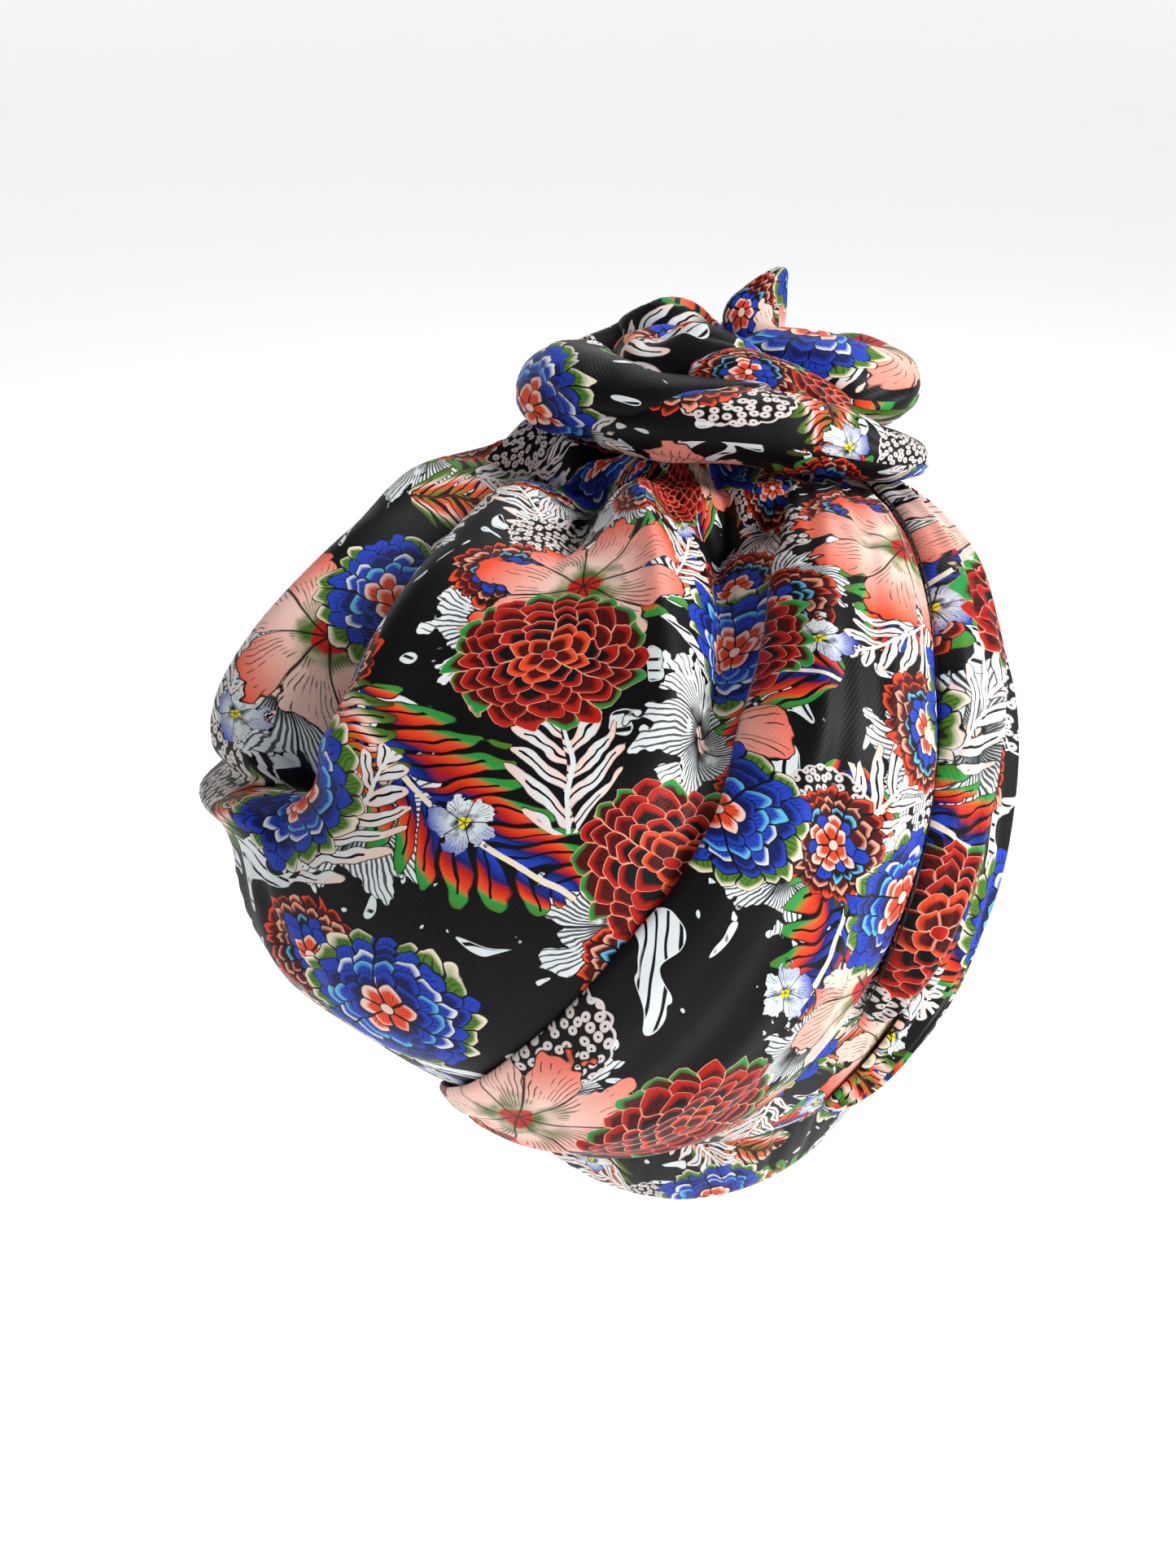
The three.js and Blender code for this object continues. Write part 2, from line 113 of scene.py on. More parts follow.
# each fold: lift, width, fade in, fade out, route of (angle, level)
crownFolds = [
    (-1.25, 1.0, .12, .08,
     ((-114, .93), (-95, .86), (-79, .80), (-71, .75), (-66, .69), (-63.5, .63), (-66, .58))),
    (.30, .8, .2, .3, ((-124, .83), (-105, .79), (-92, .74), (-83, .66), (-79, .57), (-80, .51))),
    (.46, .9, .15, .15, ((-96, .93), (-80, .87), (-65, .80), (-59, .73), (-55, .67), (-52, .615))),
    (.17, .55, .32, .25, ((-91, .46), (-80, .495), (-67, .548), (-53, .61))),
    (.30, .6, .25, .35, ((-132, .89), (-119, .83), (-109, .76), (-103, .68))),
    (.30, 1.0, .3, .3, ((-112, .87), (-126, .85), (-140, .87))),
    (.22, 1.6, .3, .3, ((-66, .42), (-52, .45), (-38, .47), (-25, .49))),
    (.34, .9, .2, .25, ((-46, .97), (-28, .93), (-16, .88), (-9, .80), (-6, .73), (-4, .67))),
    (-.60, .6, .15, .3, ((20, .96), (13, .90), (10, .83), (7, .77), (2, .71), (-4, .65))),
    (-.50, .6, .15, .4, ((-74, .97), (-60, .94), (-46, .90), (-38, .84))),
]
# sharper creases that the folds carry: lift and width in millimetres
crownCreases = [
    (-3.6, 3.6, .15, .12,
     ((-106, .89), (-86, .825), (-73, .76), (-67, .70), (-64, .64), (-65, .595), (-70, .56))),
    (-3.2, 3.0, .15, .3, ((-90, .492), (-80, .525), (-67, .58), (-55, .64))),
    (2.2, 3.2, .3, .3, ((-93, .46), (-81, .49), (-68, .54), (-55, .595))),
    (-1.8, 2.8, .2, .5, ((19, .95), (12, .90), (9, .83), (6, .77), (1, .70), (-5, .63))),
    (-1.6, 3.0, .2, .5, ((-70, .965), (-57, .93), (-45, .89), (-36, .82))),
    (1.5, 4.0, .2, .5, ((-35, .96), (-23, .92), (-14, .87), (-9, .79), (-6, .70))),
    (-1.2, 3.5, .2, .6, ((-20, .97), (-12, .93), (-6, .87), (-3, .80))),
    (-1.3, 3.0, .3, .5, ((-62, .55), (-56, .51), (-49, .465), (-46, .42))),
    (-1.3, 3.2, .3, .5, ((-76, .50), (-74, .45), (-70, .40), (-67, .34))),
    (1.0, 3.5, .3, .5, ((-68, .52), (-63, .47), (-59, .41))),
    (-1.2, 3.5, .3, .5, ((-116, .80), (-106, .72), (-100, .62), (-98, .52))),
    (-1.0, 3.0, .3, .5, ((-128, .86), (-120, .76), (-114, .66))),
    (-1.4, 3.0, .2, .5, ((-100, .94), (-84, .90), (-72, .85), (-64, .79))),
    (-1.2, 2.6, .2, .5, ((32, .96), (20, .92), (15, .87), (12, .82))),
    (-4.2, 7.0, .1, .4,
     ((58, .925), (38, .893), (23, .848), (14, .785), (7, .722), (-1, .656), (-8, .60), (-17, .545))),
]


def crownBase(angle, level):
    across, along = np.sin(np.radians(angle)), -np.cos(np.radians(angle))
    away = (angle - crown["slouchAngle"] + 540) % 360 - 180
    share = np.where(np.abs(away) < crown["slouchSpread"],
                     np.cos(np.radians(np.clip(away / crown["slouchSpread"], -1, 1) * 90)), 0)
    reach = crown["slouchReach"] * column(crown["slouch"], level) * share ** crown["slouchCurve"]
    end = np.where(along < 0, column(crown["back"], level), column(crown["front"], level))
    return np.stack([
        across * (crown["halfWidth"] * column(crown["side"], level) + reach),
        along * (crown["halfLength"] * end + reach)
        + crown["gatherForward"] * column(crown["shift"], level),
        column(crown["rise"], level) * crown["height"] + crown["openingRise"]
        + column(crown["tilt"], level) * crown["openingTilt"] * along,
    ], -1)


def crownNormal(angle, level):
    sideways = crownBase(angle + 0.8, level) - crownBase(angle - 0.8, level)
    upward = crownBase(angle, np.minimum(1, level + 0.006)) - crownBase(angle, np.maximum(0, level - 0.006))
    normal = np.cross(sideways, upward)
    return normal / np.linalg.norm(normal, axis=-1, keepdims=True)


# Lift of one fold, by the distance from its route over the crown, and how it draws cloth to itself
def foldPush(points, lift, width, fadeIn, fadeOut, route, steps=16, draw=0.0):
    spot = np.linspace(0, 1, steps)
    line = crownBase(column([a for a, _ in route], spot), column([b for _, b in route], spot))
    nearest, share = np.full(points.shape[:-1], 1e9), np.zeros(points.shape[:-1])
    foot = np.zeros(points.shape)
    for k in range(steps - 1):
        part = line[k + 1] - line[k]
        t = np.clip((points - line[k]) @ part / (part @ part), 0, 1)
        spots = line[k] + t[..., None] * part
        distance = np.linalg.norm(points - spots, axis=-1)
        share = np.where(distance < nearest, (k + t) / (steps - 1), share)
        foot = np.where((distance < nearest)[..., None], spots, foot)
        nearest = np.minimum(nearest, distance)
    strength = np.exp(-(nearest / width) ** 2) * ease(share, 0, fadeIn) * ease(1 - share, 0, fadeOut)
    return lift * strength, (foot - points) * (draw * strength)[..., None]


# Gathers that run out from under the knot, each at its own angle and of its own length
def gatherRoutes():
    draw = np.random.default_rng(11)
    routes = []
    for k in range(crown["gathers"]):
        angle = crown["gatherFrom"] + crown["gatherSpan"] * k / crown["gathers"] + draw.uniform(-3, 3)
        reach = draw.uniform(.06, .20)
        sway = draw.uniform(-6, 6)
        lift = -crown["gatherDepth"] * draw.uniform(.5, 1)
        width = draw.uniform(2.2, 4.0)
        top = crown["gatherTop"]
        route = ((angle * 1.15, top), (angle + sway, top - reach / 2), (angle * .9, top - reach))
        routes.append((lift, width, .1, .8, route))
    return routes


# The finished crown; out lifts it, and wrinkles scales its small creases
def crownPoint(angle, level, out=0.0, wrinkles=1.0):
    base = crownBase(angle, level)
    lift = np.zeros(base.shape[:-1]) + out
    slide = np.zeros(base.shape)
    for share, spread, *rest in crownFolds:
        up, aside = foldPush(base, share * crown["foldDepth"], spread * crown["foldWidth"], *rest,
                             steps=24, draw=crown["draw"] * abs(share))
        lift = lift + up
        slide = slide + aside
    for crease in crownCreases:
        lift = lift + wrinkles * crown["creases"] * foldPush(base, *crease)[0]
    for gather in gatherRoutes():
        lift = lift + wrinkles * foldPush(base, *gather, steps=7)[0]
    lift = lift + wrinkles * crown["ripple"] * waves(base, crown["rippleLength"], 3) * ease(level, .05, .3)
    lift = lift + wrinkles * crown["fineRipple"] * waves(base, crown["fineLength"], 5) * ease(level, .3, .9)
    return base + crownNormal(angle, level) * lift[..., None] + slide


# A sheet of cloth from a grid: surface() gives each point's place in millimetres and its place on the
# flat cloth in metres, from its shares across and along the sheet
def clothPiece(name, across, along, surface, wall, closed=False, outward=None):
    mesh = bpy.data.meshes.new(name)
    work = bmesh.new()
    bmesh.ops.create_grid(work, x_segments=across, y_segments=along, size=0.5)
    share = np.array([v.co[:2] for v in work.verts]) + 0.5
    points, flat = surface(share[:, 0], share[:, 1])
    for vertex, point in zip(work.verts, points * mm):
        vertex.co = point
    layer = work.loops.layers.uv.new("cloth")
    for face in work.faces:
        for loop in face.loops:
            loop[layer].uv = flat[loop.vert.index]
    middle = Vector(points.mean(0) * mm) if outward is None else Vector(outward) * mm
    work.normal_update()
    if sum(f.normal.dot(f.calc_center_median() - middle) * f.calc_area() for f in work.faces) < 0:
        bmesh.ops.reverse_faces(work, faces=work.faces)
    if closed:
        bmesh.ops.remove_doubles(work, verts=work.verts, dist=1e-6)
    for face in work.faces:
        face.smooth = True
    work.to_mesh(mesh)
    work.free()
    piece = bpy.data.objects.new(name, mesh)
    bpy.context.scene.collection.objects.link(piece)
    if wall:
        solid = piece.modifiers.new("thickness", "SOLIDIFY")
        solid.thickness = wall * mm
        solid.offset = -1
        solid.use_even_offset = False
        solid.material_offset = 1
        solid.material_offset_rim = 0
    mesh.materials.append(printedSatin)
    if wall:
        mesh.materials.append(satinBack)
    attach(piece, "root")
    return piece


# Place of each grid point on the flat cloth: a coarse copy is laid flat with little stretch
def layFlat(across, along, surface):
    work = bmesh.new()
    bmesh.ops.create_grid(work, x_segments=across, y_segments=along, size=0.5)
    share = np.array([v.co[:2] for v in work.verts]) + 0.5
    for vertex, point in zip(work.verts, surface(share[:, 0], share[:, 1]) * mm):
        vertex.co = point
    mesh = bpy.data.meshes.new("pattern")
    work.to_mesh(mesh)
    area = sum(face.calc_area() for face in work.faces)
    work.free()
    sheet = bpy.data.objects.new("pattern", mesh)
    bpy.context.scene.collection.objects.link(sheet)
    bpy.context.view_layer.objects.active = sheet
    sheet.select_set(True)
    mesh.uv_layers.new(name="flat")
    bpy.ops.object.mode_set(mode="EDIT")
    bpy.ops.mesh.select_all(action="SELECT")
    bpy.ops.uv.unwrap(method="MINIMUM_STRETCH", fill_holes=False, margin=0)
    bpy.ops.object.mode_set(mode="OBJECT")
    spots = np.zeros(len(mesh.loops) * 2)
    mesh.uv_layers["flat"].data.foreach_get("uv", spots)
    spots = spots.reshape(-1, 2)
    corner = np.zeros(len(mesh.loops), int)
    mesh.loops.foreach_get("vertex_index", corner)
    flat = np.zeros((len(mesh.vertices), 2))
    flat[corner] = spots
    quads = spots.reshape(-1, 4, 2)
    nextSpot = np.roll(quads, -1, 1)
    covered = np.abs((quads[..., 0] * nextSpot[..., 1] - quads[..., 1] * nextSpot[..., 0]).sum(1)).sum() / 2
    bpy.data.objects.remove(sheet)
    bpy.data.meshes.remove(mesh)
    return flat.reshape(along + 1, across + 1, 2) * (area / covered) ** 0.5


# Value of a coarse grid between its points
def between(grid, u, v):
    x, y = np.clip(u, 0, 1) * (grid.shape[1] - 1), np.clip(v, 0, 1) * (grid.shape[0] - 1)
    i, j = np.minimum(x.astype(int), grid.shape[1] - 2), np.minimum(y.astype(int), grid.shape[0] - 2)
    s, t = (x - i)[:, None], (y - j)[:, None]
    return (grid[j, i] * (1 - s) * (1 - t) + grid[j, i + 1] * s * (1 - t)
            + grid[j + 1, i] * (1 - s) * t + grid[j + 1, i + 1] * s * t)


# Materials

def tint(code, alpha=1.0):
    parts = [int(code[i:i + 2], 16) / 255 for i in (1, 3, 5)]
    return (*[c / 12.92 if c <= 0.04045 else ((c + 0.055) / 1.055) ** 2.4 for c in parts], alpha)


# A socket that takes Python arithmetic
class Thread:
    def __init__(self, weave, socket):
        self.weave = weave
        self.socket = socket

    def __add__(self, other):
        return self.weave.maths("ADD", self, other)

    __radd__ = __add__

    def __mul__(self, other):
        return self.weave.maths("MULTIPLY", self, other)

    __rmul__ = __mul__

    def __sub__(self, other):
        return self.weave.maths("SUBTRACT", self, other)

    def __rsub__(self, other):
        return self.weave.maths("SUBTRACT", other, self)

    def __truediv__(self, other):
        return self.weave.maths("DIVIDE", self, other)

    def __rtruediv__(self, other):
        return self.weave.maths("DIVIDE", other, self)

    def __pow__(self, other):
        return self.weave.maths("POWER", self, other)

    def __abs__(self):
        return self.weave.maths("ABSOLUTE", self)

    def __lt__(self, other):
        return self.weave.maths("LESS_THAN", self, other)

    def __gt__(self, other):
        return self.weave.maths("GREATER_THAN", self, other)


# The nodes of one material
class Weave:
    def __init__(self, name):
        self.material = bpy.data.materials.new(name)
        self.material.use_nodes = True
        self.tree = self.material.node_tree
        self.tree.nodes.clear()

    def node(self, kind, settings=None, values=None, out=0):
        made = self.tree.nodes.new(kind)
        for key, value in (settings or {}).items():
            if key == "stops":
                ramp = made.color_ramp
                while len(ramp.elements) < len(value):
                    ramp.elements.new(0.5)
                for element, (place, colour) in zip(ramp.elements, value):
                    element.position = place
                    element.color = colour
            elif key == "ease":
                made.color_ramp.interpolation = value
            else:
                setattr(made, key, value)
        for key, value in (values or {}).items():
            if isinstance(value, Thread):
                self.tree.links.new(value.socket, made.inputs[key])
            else:
                made.inputs[key].default_value = value
        if isinstance(out, tuple):
            return tuple(Thread(self, made.outputs[o]) for o in out)
        return Thread(self, made.outputs[out])

    def maths(self, operation, *values, clamp=False):
        settings = dict(operation=operation, use_clamp=clamp)
        return self.node("ShaderNodeMath", settings, dict(enumerate(values)))

    def noise(self, place, scale, detail, out=0, dimensions="2D", **more):
        return self.node("ShaderNodeTexNoise", dict(noise_dimensions=dimensions),
                         {"Vector": place, "Scale": scale, "Detail": detail, **more}, out)

    def spot(self, x, y, z=0):
        return self.node("ShaderNodeCombineXYZ", None, {0: x, 1: y, 2: z})

    def vector(self, operation, *values, out=0):
        return self.node("ShaderNodeVectorMath", dict(operation=operation), dict(enumerate(values)), out)

    def mix(self, share, under, over):
        return self.node("ShaderNodeMix", dict(data_type="RGBA"), {0: share, 6: under, 7: over}, 2)

    def ramp(self, value, stops, ease="LINEAR"):
        return self.node("ShaderNodeValToRGB", dict(stops=stops, ease=ease), {0: value})

    def clip(self, value):
        return self.maths("ADD", value, 0, clamp=True)

    # 1 above the edge, 0 below it, over a narrow step
    def above(self, value, edge, soft):
        return self.clip((value - edge) / soft + 0.5)


printColours = dict(
    ground=tint("#07070a"), ink=tint("#070609"), pale=tint("#dfe6e8"), cream=tint("#efe0c8"),
    blush=tint("#f3cdbf"), peach=tint("#f2a387"), orange=tint("#ee4a22"), red=tint("#b81d12"),
    maroon=tint("#4d0a08"), green=tint("#1f9a45"), leaf=tint("#4e7a22"), olive=tint("#3f3d12"),
    blue=tint("#1f3fb4"), navy=tint("#111b5c"), sky=tint("#5fb4dc"), yellow=tint("#f2e516"),
    white=tint("#eef1f2"), bone=tint("#d9cfcb"),
)
# how each kind of motif is strewn: pitch in metres, turn of its grid in degrees, size as a share of
# the pitch, and how many of its places are filled
printLayers = dict(
    ghosts=dict(pitch=0.056, turn=21, shift=(0.19, 0.38), size=0.37, drift=0.10, filled=0.62, seed=9),
    branches=dict(pitch=0.068, turn=17, shift=(0.31, 0.12), size=0.48, drift=0.02, filled=0.70, seed=1),
    ferns=dict(pitch=0.050, turn=-38, shift=(0.22, 0.57), size=0.44, drift=0.06, filled=0.55, seed=2),
    sprigs=dict(pitch=0.046, turn=63, shift=(0.45, 0.81), size=0.46, drift=0.04, filled=0.50, seed=3),
    berries=dict(pitch=0.045, turn=-12, shift=(0.70, 0.33), size=0.30, drift=0.18, filled=0.45, seed=4),
    asters=dict(pitch=0.050, turn=41, shift=(0.36, 0.47), size=0.30, drift=0.18, filled=0.50, seed=7),
    buds=dict(pitch=0.038, turn=8, shift=(0.83, 0.15), size=0.21, drift=0.26, filled=0.36, seed=8),
    blooms=dict(pitch=0.078, turn=29, shift=(0.12, 0.66), size=0.36, drift=0.13, filled=0.70, seed=5),
    heads=dict(pitch=0.060, turn=-31, shift=(0.24, 0.71), size=0.35, drift=0.15, filled=0.74, seed=23),
)
scraps = dict(size=0.020, cover=0.40, lines=95, edge=0.04)
redShare = 0.27  # of the large flower heads
# rings of petals: petals in the first ring, more in each next one, and how pointed they are
headKinds = dict(
    asters=dict(rings=5, petals=6, more=4, line=0.12, bulge=0.6, point=0.8),
    blue=dict(rings=6, petals=6, more=3, line=0.10, bulge=0.7, point=0.5),
    red=dict(rings=6, petals=5, more=3, line=0.05, bulge=0.7, point=0.6),
)
# the heart as a share of a ring's width, how far the unsteady hand strays, and the veins of a petal
headDrawing = dict(heart=0.6, handScale=2.6, handDetail=1.5, strayOut=0.34, strayRound=0.07,
                   toneSpread=1.3, veins=5, veinWidth=0.10, veinInk=0.8, lineStray=0.16, lineSoft=0.07)
# one ring of broad petals: how many, streaks on each, how far and how thick they run
bloomKinds = dict(
    ghosts=dict(petals=6, streaks=11, reach=0.97, frill=0.5, stroke=0.34),
    buds=dict(petals=5, streaks=9, reach=0.8, frill=0.3, stroke=0.16),
    blooms=dict(petals=8, streaks=9, reach=0.8, frill=0.3, stroke=0.16),
)
bloomDrawing = dict(inner=0.50, petal=0.40, uneven=0.2, waveScale=3.6, waveDetail=2.0, heart=0.15, line=0.03)
leafKinds = dict(
    branches=dict(width=0.56, leaves=4.2, slant=0.8, gap=0.06),
    ferns=dict(width=0.58, leaves=3.5, slant=1.1, gap=0.10),
    sprigs=dict(width=0.50, leaves=3.2, slant=1.2, gap=0.20),
)
leafDrawing = dict(curve=0.16, stray=0.2, spine=0.022, midrib=0.10, midribReach=0.75)
berryDrawing = dict(scale=5.2, random=0.55, hollow=0.10, bead=0.40, scallops=11, scallopDepth=0.05,
                    rim=0.91, edge=0.95)


def hues(*stops):
    return tuple((place, printColours[name]) for place, name in stops)


# One motif in each square of a turned grid, kept inside it: its own coordinates and chance number
def strewn(weave, cloth, spec):
    turned = weave.node("ShaderNodeMapping", dict(vector_type="POINT"), {
        0: cloth, 1: (*spec["shift"], 0), 2: (0, 0, math.radians(spec["turn"])), 3: (1 / spec["pitch"],) * 3})
    square = weave.vector("FLOOR", turned)
    chance, colour = weave.node("ShaderNodeTexWhiteNoise", dict(noise_dimensions="4D"),
                                {0: square, 1: spec["seed"] * 3.7}, (0, 1))
    centre = weave.vector("MULTIPLY_ADD", weave.vector("SUBTRACT", colour, (0.5, 0.5, 0.5)),
                          (2 * spec["drift"], 2 * spec["drift"], 0), (0.5, 0.5, 0))
    place = weave.vector("SUBTRACT", weave.vector("FRACTION", turned), centre)
    third = weave.node("ShaderNodeSeparateXYZ", None, {0: colour}, 2)
    spun = weave.node("ShaderNodeVectorRotate", dict(rotation_type="Z_AXIS"),
                      {"Vector": place, "Angle": third * (2 * math.pi)})
    scaled = weave.vector("MULTIPLY", spun, (1 / spec["size"],) * 2 + (0,))
    x, y = weave.node("ShaderNodeSeparateXYZ", None, {0: scaled}, (0, 1))
    return x, y, chance, chance < spec["filled"]


# Rings of petals, the inner rings lying over the outer ones, each petal of its own tone
def rosette(weave, x, y, chance, kind, base, tip, heart, outline):
    rings, petals, more, bulge, point = (kind[key] for key in ("rings", "petals", "more", "bulge", "point"))
    ink = printColours["ink"]
    style = headDrawing
    hand = weave.noise(weave.spot(x, y, chance * 9), style["handScale"], style["handDetail"],
                       dimensions="3D")
    radius = weave.maths("SQRT", x * x + y * y) * (1 + (hand - 0.5) * style["strayOut"])
    turn = weave.maths("ARCTAN2", y, x) / (2 * math.pi) + (hand - 0.5) * style["strayRound"]
    place = radius * (rings + bulge + style["heart"]) - style["heart"]

    def along(ring):
        return turn * (ring * more + petals) + ring * 0.5 + 8

    def bump(share):
        blunt = weave.maths("SQRT", weave.maths("MAXIMUM", 1 - share * share * 4, 0))
        return (blunt * (1 - point) + (1 - abs(share) * 2) * point) * bulge

    outer = weave.maths("FLOOR", place)
    under = bump(weave.maths("FRACT", along(outer - 1)) - 0.5)
    ring = outer - (place - outer < under) * (outer > 0.5)
    count = weave.maths("FLOOR", along(ring))
    share = weave.maths("FRACT", along(ring)) - 0.5
    edge = ring + 1 + bump(share) - place
    side = (0.5 - abs(share)) * (place + style["heart"]) * (2 * math.pi) / (ring * more + petals)
    own = weave.node("ShaderNodeTexWhiteNoise", dict(noise_dimensions="2D"),
                     {"Vector": weave.spot(ring + chance * 31, count)})
    where = weave.clip((ring + 0.5 + (own - 0.5) * style["toneSpread"]) / rings)
    shade = weave.above(edge + (own - 0.5) * 0.3 + (hand - 0.5) * 0.5, 0.42, -0.42)
    petal = weave.mix(shade, weave.ramp(where, base, "CONSTANT"), weave.ramp(where, tip, "CONSTANT"))
    vein = abs(weave.maths("FRACT", share * style["veins"] + own + hand) - 0.5)
    veined = (1 - weave.above(vein, style["veinWidth"], 0.08)) * weave.above(edge, 0.62, 0.3)
    petal = weave.mix(veined * style["veinInk"], petal, ink)
    middle = place < 0
    petal = weave.mix(middle, petal, heart)
    near = weave.maths("MINIMUM", edge, side) * (1 - middle) - middle * place
    lined = 1 - weave.above(near, (hand - 0.5) * style["lineStray"] + kind["line"], style["lineSoft"])
    petal = weave.mix(lined, petal, outline)
    return ring < rings - 0.5, petal


# Broad petals round a bright heart, streaked from the middle
def bloom(weave, x, y, chance, kind, fill, edgeTint, ring, heart):
    ink = printColours["ink"]
    style = bloomDrawing
    petals, stroke = kind["petals"], kind["stroke"]
    radius = weave.maths("SQRT", x * x + y * y)
    turn = weave.maths("ARCTAN2", y, x) / (2 * math.pi) * petals + petals + chance
    share = weave.maths("FRACT", turn) - 0.5
    which = weave.node("ShaderNodeTexWhiteNoise", dict(noise_dimensions="1D"),
                       {1: weave.maths("FLOOR", turn) + chance * 60})
    wave = weave.noise(weave.spot(x + chance * 7, y), style["waveScale"], style["waveDetail"])
    shape = weave.maths("SQRT", weave.maths("MAXIMUM", 1 - share * share * 3.9, 0))
    rim = (shape * style["petal"] + style["inner"] + (wave - 0.5) * kind["frill"] * 2
           + (which - 0.5) * style["uneven"])
    inside = rim - radius
    petal = weave.mix(weave.clip(radius * 1.5 - 0.45) * weave.above(which, 0.45, 0.3), fill, edgeTint)
    petal = weave.mix(weave.clip(1.3 - radius * 3.2 + (wave - 0.5) * 2), petal, ring)
    streak = abs(weave.maths("FRACT", share * kind["streaks"] + (wave - 0.5) * 1.5) - 0.5)
    thick = weave.clip(1 - radius) * stroke + stroke * 0.2
    drawn = (1 - weave.above(streak, thick, 0.05)) * weave.above(wave, 0.66 - stroke, 0.08)
    petal = weave.mix(drawn * (radius < kind["reach"]) * 0.9, petal, ink)
    petal = weave.mix(1 - weave.above(radius + (wave - 0.5) * 0.25, style["heart"], 0.03), petal, heart)
    line = weave.maths("MINIMUM", inside, (0.5 - abs(share)) * radius * 1.2 + 0.015)
    petal = weave.mix(1 - weave.above(line, style["line"], 0.02), petal, ink)
    return inside > 0, petal


# Leaves along a curved spine, as on a branch or a fern
def leafSpray(weave, x, y, chance, kind, stops, spine):
    ink = printColours["ink"]
    style = leafDrawing
    hand = weave.noise(weave.spot(x + chance * 5, y), 3.0, 1.5)
    off = abs(y + (x * x - 0.3) * style["curve"])
    along = (x + off * kind["slant"] + (hand - 0.5) * style["stray"]) * kind["leaves"] + (y > 0) * 0.5
    leaf = weave.maths("FRACT", along + 20)
    reach = weave.maths("SQRT", weave.maths("MAXIMUM", 1 - x * x, 0)) * kind["width"] * (0.75 + hand * 0.5)
    share = weave.clip(off / (reach + 0.001))
    across = abs(leaf - 0.5) * 2
    swell = weave.maths("SINE", weave.maths("MAXIMUM", share * 2.6 + 0.45, 0)) ** 0.6
    room = weave.clip(swell) * (1 - kind["gap"])
    inside = (share < 0.99) * weave.maths("MAXIMUM", across < room, off < 0.02)
    colour = weave.ramp(weave.clip(share + (leaf - 0.5) * 0.25 + (hand - 0.5) * 0.5), stops)
    colour = weave.mix(weave.above(across, room - 0.1, 0.1) * (off > 0.03), colour, ink)
    colour = weave.mix((across < style["midrib"]) * (share < style["midribReach"]), colour, ink)
    colour = weave.mix(off < style["spine"], colour, spine)
    return inside * (abs(x) < 0.97), colour


# Pale beads on black with a scalloped pale rim
def berryHead(weave, x, y, chance):
    c, style = printColours, berryDrawing
    cell = weave.node("ShaderNodeTexVoronoi", dict(voronoi_dimensions="2D", feature="F1"),
                      {"Vector": weave.spot(x + chance * 3, y), "Scale": style["scale"],
                       "Randomness": style["random"]})
    beads = weave.above(cell, style["hollow"], 0.05) * (1 - weave.above(cell, style["bead"], 0.06))
    scallop = weave.maths("SINE", weave.maths("ARCTAN2", y, x) * style["scallops"])
    scallop = abs(scallop) * style["scallopDepth"]
    radius = weave.maths("SQRT", x * x + y * y) - scallop
    motif = weave.mix(beads, c["ink"], c["bone"])
    return radius < style["edge"], weave.mix(weave.above(radius, style["rim"], 0.02), motif, c["bone"])


# Large flower heads, red with a green rim or blue with pale tips
def flowerHead(weave, x, y, chance):
    c = printColours
    blueBase = hues((0, "orange"), (.20, "navy"), (.34, "blue"), (.60, "navy"), (.72, "blue"), (.86, "leaf"))
    blueTip = hues((0, "blush"), (.20, "blue"), (.34, "sky"), (.50, "pale"), (.60, "blue"), (.86, "cream"))
    redBase = hues((0, "maroon"), (.30, "ink"), (.62, "maroon"), (.86, "maroon"))
    redTip = hues((0, "orange"), (.30, "red"), (.62, "red"), (.86, "green"))
    red = chance < redShare
    blueMask, blue = rosette(weave, x, y, chance, headKinds["blue"], blueBase, blueTip, c["blush"], c["ink"])
    redMask, redOne = rosette(weave, x, y, chance, headKinds["red"], redBase, redTip, c["red"], c["peach"])
    return blueMask * (1 - red) + redMask * red, weave.mix(red, blue, redOne)


def aster(weave, x, y, chance):
    c = printColours
    base = hues((0, "orange"), (.2, "blue"), (.40, "ink"), (.55, "maroon"), (.78, "maroon"))
    tip = hues((0, "blush"), (.2, "blue"), (.40, "sky"), (.55, "peach"), (.78, "orange"))
    return rosette(weave, x, y, chance, headKinds["asters"], base, tip, c["blush"], c["ink"])


# The motif of one layer of the print
def motifOf(layer, weave, x, y, chance):
    c = printColours
    place = (weave, x, y, chance)
    if layer == "ghosts":
        return bloom(*place, bloomKinds[layer], c["pale"], c["white"], c["ink"], c["blush"])
    if layer == "branches":
        stops = hues((0, "blue"), (.26, "navy"), (.38, "red"), (.60, "orange"), (.74, "green"), (1, "leaf"))
        return leafSpray(*place, leafKinds[layer], stops, c["cream"])
    if layer == "ferns":
        stops = hues((0, "leaf"), (.3, "orange"), (.5, "blush"), (.7, "leaf"), (1, "olive"))
        return leafSpray(*place, leafKinds[layer], stops, c["maroon"])
    if layer == "sprigs":
        return leafSpray(*place, leafKinds[layer], hues((0, "blush"), (.5, "pale"), (1, "blush")), c["pale"])
    if layer == "berries":
        return berryHead(*place)
    if layer == "asters":
        return aster(*place)
    if layer == "buds":
        return bloom(*place, bloomKinds[layer], c["pale"], c["blue"], c["navy"], c["yellow"])
    if layer == "blooms":
        return bloom(*place, bloomKinds[layer], c["blush"], c["orange"], c["leaf"], c["red"])
    return flowerHead(*place)


